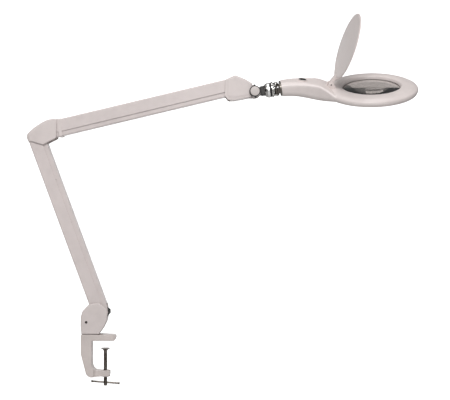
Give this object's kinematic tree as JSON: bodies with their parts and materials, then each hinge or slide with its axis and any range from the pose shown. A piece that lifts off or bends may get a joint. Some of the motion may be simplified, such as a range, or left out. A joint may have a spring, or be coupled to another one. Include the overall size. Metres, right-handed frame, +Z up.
{
  "type": "magnifying lamp",
  "caption": "Table-clamped magnifying lamp: spring-balanced parallelogram arm with covered knuckles, and a lit ring head with a round lens and a hinged lid.",
  "frame": {"origin": "centre of the clamp's seat (underside of the upper jaw) on the clamp screw's axis", "axes": "+X from the clamp towards the lens, +Y to the rear, +Z up"},
  "size_m": [0.8365, 0.2042, 0.7914],
  "materials": {
    "cast_white": "satin white paint on a zinc casting",
    "coated_white": "white powder coat on folded steel",
    "moulded_white": "fine moulded texture",
    "shell_white": "smooth white plastic",
    "black_steel": "black powder coat",
    "dark_steel": "blackened threaded steel",
    "zinc_steel": "zinc plated",
    "spring_steel": "oiled spring wire",
    "black_screw": "black oxide",
    "nylon": "natural nylon",
    "black_rubber": "soft black",
    "black_plastic": "black moulded",
    "chrome": "polished",
    "lens_glass": "clear optical glass",
    "board_white": "white solder mask",
    "board_green": "green solder mask with components",
    "led_yellow": "phosphor over a white package",
    "diffuser": "frosted acrylic"
  },
  "bodies": {
    "clamp": {"clamp_body": "cast_white"},
    "pad": {"clamp_pad": "dark_steel"},
    "screw": {"clamp_screw": "dark_steel"},
    "tommy_bar": {"clamp_tommy_bar": "dark_steel"},
    "base": {"base_bracket": "black_steel", "base_cover_front": "moulded_white", "base_cover_rear": "moulded_white", "base_cover_screws": "black_screw", "base_main_pin": "zinc_steel", "base_tie_pin": "zinc_steel", "base_spacers": "nylon", "cable_gland": "black_rubber"},
    "lower_main": {"lower_main_channel": "coated_white", "lower_main_anchor": "zinc_steel", "lower_springs": "spring_steel"},
    "lower_tie": {"lower_tie_channel": "coated_white", "lower_tie_anchor": "zinc_steel"},
    "elbow": {"elbow_bracket": "black_steel", "elbow_cover_front": "moulded_white", "elbow_cover_rear": "moulded_white", "elbow_cover_screws": "black_screw", "elbow_main_pins": "zinc_steel", "elbow_tie_pins": "zinc_steel", "elbow_spacers": "nylon"},
    "upper_main": {"upper_main_channel": "coated_white", "upper_main_anchor": "zinc_steel", "upper_springs": "spring_steel", "upper_arm_sleeve": "moulded_white"},
    "upper_tie": {"upper_tie_channel": "coated_white", "upper_tie_anchor": "zinc_steel"},
    "head_knuckle": {"head_knuckle_bracket": "black_steel", "head_knuckle_cover_front": "moulded_white", "head_knuckle_cover_rear": "moulded_white", "head_knuckle_main_pin": "zinc_steel", "head_knuckle_tie_pin": "zinc_steel", "head_knuckle_spacers": "nylon", "head_knuckle_screws": "black_screw", "tilt_bolt": "zinc_steel"},
    "knob": {"tilt_knob": "black_plastic", "tilt_knob_cap": "moulded_white"},
    "neck": {"neck_block": "black_plastic", "swivel_flange": "chrome"},
    "yoke": {"yoke": "chrome", "swivel_ring": "chrome", "swivel_washer": "black_plastic", "swivel_bolt": "zinc_steel", "pan_pin": "chrome"},
    "head": {"handle_fitting": "chrome", "head_upper_shell": "shell_white", "head_lower_shell": "shell_white", "magnifier_lens": "lens_glass", "lens_retainer": "black_plastic", "led_board": "board_white", "led_chips": "led_yellow", "led_diffuser": "diffuser", "driver_board": "board_green", "head_screws": "zinc_steel", "lid_hinge_pin": "zinc_steel"},
    "button": {"switch_button": "black_plastic"},
    "lid": {"lens_lid": "shell_white"}
  },
  "joints": [
    {"name": "clamp_travel", "type": "slide", "parent": "clamp", "child": "pad", "axis": [0, 0, 1], "range_m": [-0.038, 0.006]},
    {"name": "screw_turn", "type": "hinge", "parent": "pad", "child": "screw", "pos_m": [0, 0, -0.05], "axis": [0, 0, 1], "range_deg": [-10960, 1740]},
    {"name": "bar_slide", "type": "slide", "parent": "screw", "child": "tommy_bar", "axis": [0.9971, 0, -0.0767], "range_m": [-0.0235, 0.0235]},
    {"name": "base_swivel", "type": "hinge", "parent": "clamp", "child": "base", "pos_m": [-0.0385, 0, 0.014], "axis": [0, 0, 1], "continuous": true},
    {"name": "lower_arm_lift", "type": "hinge", "parent": "base", "child": "lower_main", "pos_m": [-0.02, 0, 0.0614], "axis": [0, 1, 0], "range_deg": [-20, 35], "deforming": ["lower_springs"]},
    {"name": "lower_tie_follow", "type": "hinge", "parent": "base", "child": "lower_tie", "pos_m": [0.0003, 0, 0.0614], "axis": [0, 1, 0], "range_deg": [-20, 35]},
    {"name": "elbow_level", "type": "hinge", "parent": "lower_main", "child": "elbow", "pos_m": [-0.15877, 0, 0.43656], "axis": [0, 1, 0], "range_deg": [-35, 20]},
    {"name": "upper_arm_lift", "type": "hinge", "parent": "elbow", "child": "upper_main", "pos_m": [-0.1198, 0, 0.459], "axis": [0, -1, 0], "range_deg": [-30, 36], "deforming": ["upper_springs"]},
    {"name": "upper_tie_follow", "type": "hinge", "parent": "elbow", "child": "upper_tie", "pos_m": [-0.1198, 0, 0.4387], "axis": [0, -1, 0], "range_deg": [-30, 36]},
    {"name": "head_level", "type": "hinge", "parent": "upper_main", "child": "head_knuckle", "pos_m": [0.26931, 0, 0.5517], "axis": [0, -1, 0], "range_deg": [-36, 30]},
    {"name": "tilt_knob_turn", "type": "hinge", "parent": "head_knuckle", "child": "knob", "pos_m": [0.3192, 0, 0.53], "axis": [0, -1, 0], "range_deg": [-90, 180]},
    {"name": "head_tilt", "type": "hinge", "parent": "head_knuckle", "child": "neck", "pos_m": [0.3192, 0, 0.53], "axis": [0, -1, 0], "range_deg": [-60, 45]},
    {"name": "head_roll", "type": "hinge", "parent": "neck", "child": "yoke", "pos_m": [0.3192, 0, 0.53], "axis": [0.989, 0, 0.1478], "range_deg": [-113.5, 66.5]},
    {"name": "head_pan", "type": "hinge", "parent": "yoke", "child": "head", "pos_m": [0.36519, 0, 0.53687], "axis": [-0.1356, -0.3987, 0.907], "range_deg": [-40, 40]},
    {"name": "lid_open", "type": "hinge", "parent": "head", "child": "lid", "pos_m": [0.48203, 0.00249, 0.54854], "axis": [-0.0589, 0.9171, 0.3944], "range_deg": [-30, 68.8]},
    {"name": "switch_press", "type": "slide", "parent": "head", "child": "button", "axis": [-0.1145, 0.3862, -0.9153], "range_m": [0, 0.0016], "stiffness_N_per_m": 900}
  ],
  "couplings": [
    {"joint": "screw_turn", "follows": "clamp_travel", "rad_per_m": 5026.5},
    {"joint": "lower_tie_follow", "follows": "lower_arm_lift", "ratio": 1},
    {"joint": "elbow_level", "follows": "lower_arm_lift", "ratio": -1},
    {"joint": "upper_tie_follow", "follows": "upper_arm_lift", "ratio": 1},
    {"joint": "head_level", "follows": "upper_arm_lift", "ratio": -1}
  ]
}
